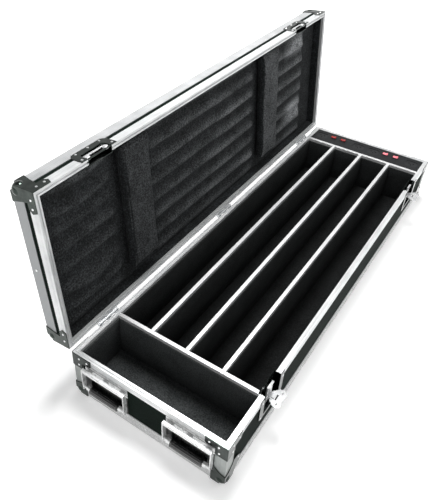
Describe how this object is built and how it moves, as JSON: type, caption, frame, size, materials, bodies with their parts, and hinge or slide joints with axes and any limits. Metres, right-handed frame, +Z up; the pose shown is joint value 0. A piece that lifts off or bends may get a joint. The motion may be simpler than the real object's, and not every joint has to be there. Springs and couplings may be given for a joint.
{
  "type": "flight case",
  "caption": "Long shallow flight case with a hinged lid, butterfly latches, spring handles, lined channels, lid foam and a power panel of sockets and rocker switches.",
  "frame": {"origin": "centre of the floor panel's underside, between the two ends and the two long sides", "axes": "+X runs along the case from the near handle end to the power panel end, +Y from the latches to the hinges, +Z up"},
  "size_m": [1.315, 0.5389, 0.5433],
  "materials": {
    "laminate": "black phenolic laminate on birch ply, fine rough grain",
    "extrusion": "clear anodised aluminium extrusion",
    "ball_corner": "zinc plated pressed steel",
    "brace": "bright zinc plated sheet",
    "rivet": "domed aluminium rivet",
    "board": "black laminated board",
    "cap": "clear anodised aluminium capping",
    "foam": "dark grey foam",
    "power_plate": "dark grey satin powder coat",
    "batten": "plain softwood",
    "socket": "black plastic socket face",
    "switch_body": "black plastic",
    "rocker": "clear red plastic, lit from inside",
    "hinge": "zinc plated steel",
    "pin": "plain steel",
    "dish": "black zinc plated steel",
    "spring": "bright spring steel",
    "bail": "zinc plated steel",
    "grip": "black moulded rubber",
    "latch_dish": "bright zinc plated steel",
    "latch_part": "bright zinc plated steel"
  },
  "bodies": {
    "case_base": {"floor_panel": "laminate", "front_panel": "laminate", "back_panel": "laminate", "end_panels": "laminate", "base_rim": "extrusion", "base_bottom_angles": "extrusion", "base_corner_angles": "extrusion", "base_ball_corners": "ball_corner", "rim_corner_braces": "brace", "base_rivets": "rivet", "near_divider": "board", "far_divider": "board", "channel_dividers": "board", "divider_caps": "cap", "compartment_linings": "foam", "channel_foam_rails": "foam", "power_panel": "power_plate", "power_panel_battens": "batten", "socket_modules": "socket", "switch_housings": "switch_body", "hinge_base_leaves": "hinge", "hinge_pins": "pin", "handle_dishes": "dish", "handle_pins": "pin", "handle_springs": "spring", "latch_dishes": "latch_dish"},
    "lid": {"lid_top_panel": "laminate", "lid_front_panel": "laminate", "lid_back_panel": "laminate", "lid_end_panels": "laminate", "lid_rim": "extrusion", "lid_edge_angles": "extrusion", "lid_corner_angles": "extrusion", "lid_ball_corners": "ball_corner", "lid_rivets": "rivet", "latch_keepers": "latch_dish", "hinge_lid_leaves": "hinge", "lid_wall_lining": "foam", "lid_ceiling_foam": "foam", "lid_pad_near": "foam", "lid_pad_far": "foam"},
    "handle_near_left": {"handle_bail_near_left": "bail", "handle_grip_near_left": "grip"},
    "handle_near_right": {"handle_bail_near_right": "bail", "handle_grip_near_right": "grip"},
    "handle_far_left": {"handle_bail_far_left": "bail", "handle_grip_far_left": "grip"},
    "handle_far_right": {"handle_bail_far_right": "bail", "handle_grip_far_right": "grip"},
    "latch_spindle_body_near": {"latch_spindle_near": "latch_part"},
    "latch_wing_body_near": {"latch_wing_near": "latch_part"},
    "latch_hook_body_near": {"latch_hook_near": "latch_part"},
    "latch_spindle_body_far": {"latch_spindle_far": "latch_part"},
    "latch_wing_body_far": {"latch_wing_far": "latch_part"},
    "latch_hook_body_far": {"latch_hook_far": "latch_part"},
    "rocker_body_1": {"rocker_1": "rocker"},
    "rocker_body_2": {"rocker_2": "rocker"},
    "rocker_body_3": {"rocker_3": "rocker"},
    "rocker_body_4": {"rocker_4": "rocker"}
  },
  "joints": [
    {"name": "lid_hinge", "type": "hinge", "parent": "case_base", "child": "lid", "pos_m": [0, 0.2055, 0.1335], "axis": [-1, 0, 0], "range_deg": [-95.35, 0]},
    {"name": "handle_near_left_fold", "type": "hinge", "parent": "case_base", "child": "handle_near_left", "pos_m": [-0.6473, 0.1065, 0.102], "axis": [0, 1, 0], "range_deg": [0, 90], "stiffness_Nm_per_rad": 0.2, "springref_deg": -28.65},
    {"name": "handle_near_right_fold", "type": "hinge", "parent": "case_base", "child": "handle_near_right", "pos_m": [-0.6473, -0.1125, 0.102], "axis": [0, 1, 0], "range_deg": [0, 90], "stiffness_Nm_per_rad": 0.2, "springref_deg": -28.65},
    {"name": "handle_far_left_fold", "type": "hinge", "parent": "case_base", "child": "handle_far_left", "pos_m": [0.6473, -0.1065, 0.102], "axis": [0, -1, 0], "range_deg": [0, 90], "stiffness_Nm_per_rad": 0.2, "springref_deg": -28.65},
    {"name": "handle_far_right_fold", "type": "hinge", "parent": "case_base", "child": "handle_far_right", "pos_m": [0.6473, 0.1125, 0.102], "axis": [0, -1, 0], "range_deg": [0, 90], "stiffness_Nm_per_rad": 0.2, "springref_deg": -28.65},
    {"name": "latch_turn_near", "type": "hinge", "parent": "case_base", "child": "latch_spindle_body_near", "pos_m": [-0.46, -0.2, 0.1005], "axis": [0, 1, 0], "range_deg": [0, 180]},
    {"name": "latch_wing_fold_near", "type": "hinge", "parent": "latch_spindle_body_near", "child": "latch_wing_body_near", "pos_m": [-0.46, -0.201, 0.1005], "axis": [-1, 0, 0], "range_deg": [0, 90]},
    {"name": "latch_draw_near", "type": "slide", "parent": "case_base", "child": "latch_hook_body_near", "axis": [0, 0, 1], "range_m": [0, 0.01]},
    {"name": "latch_turn_far", "type": "hinge", "parent": "case_base", "child": "latch_spindle_body_far", "pos_m": [0.46, -0.2, 0.1005], "axis": [0, 1, 0], "range_deg": [0, 180]},
    {"name": "latch_wing_fold_far", "type": "hinge", "parent": "latch_spindle_body_far", "child": "latch_wing_body_far", "pos_m": [0.46, -0.201, 0.1005], "axis": [-1, 0, 0], "range_deg": [0, 90]},
    {"name": "latch_draw_far", "type": "slide", "parent": "case_base", "child": "latch_hook_body_far", "axis": [0, 0, 1], "range_m": [0, 0.01]},
    {"name": "rocker_tilt_1", "type": "hinge", "parent": "case_base", "child": "rocker_body_1", "pos_m": [0.601, 0.11971, 0.1315], "axis": [1, 0, 0], "range_deg": [0, 16]},
    {"name": "rocker_tilt_2", "type": "hinge", "parent": "case_base", "child": "rocker_body_2", "pos_m": [0.601, 0.08471, 0.1315], "axis": [1, 0, 0], "range_deg": [0, 16]},
    {"name": "rocker_tilt_3", "type": "hinge", "parent": "case_base", "child": "rocker_body_3", "pos_m": [0.601, -0.06737, 0.1315], "axis": [1, 0, 0], "range_deg": [0, 16]},
    {"name": "rocker_tilt_4", "type": "hinge", "parent": "case_base", "child": "rocker_body_4", "pos_m": [0.601, -0.10237, 0.1315], "axis": [1, 0, 0], "range_deg": [0, 16]}
  ],
  "couplings": [
    {"joint": "latch_turn_near", "follows": "latch_draw_near", "rad_per_m": 314.16},
    {"joint": "latch_turn_far", "follows": "latch_draw_far", "rad_per_m": 314.16}
  ]
}
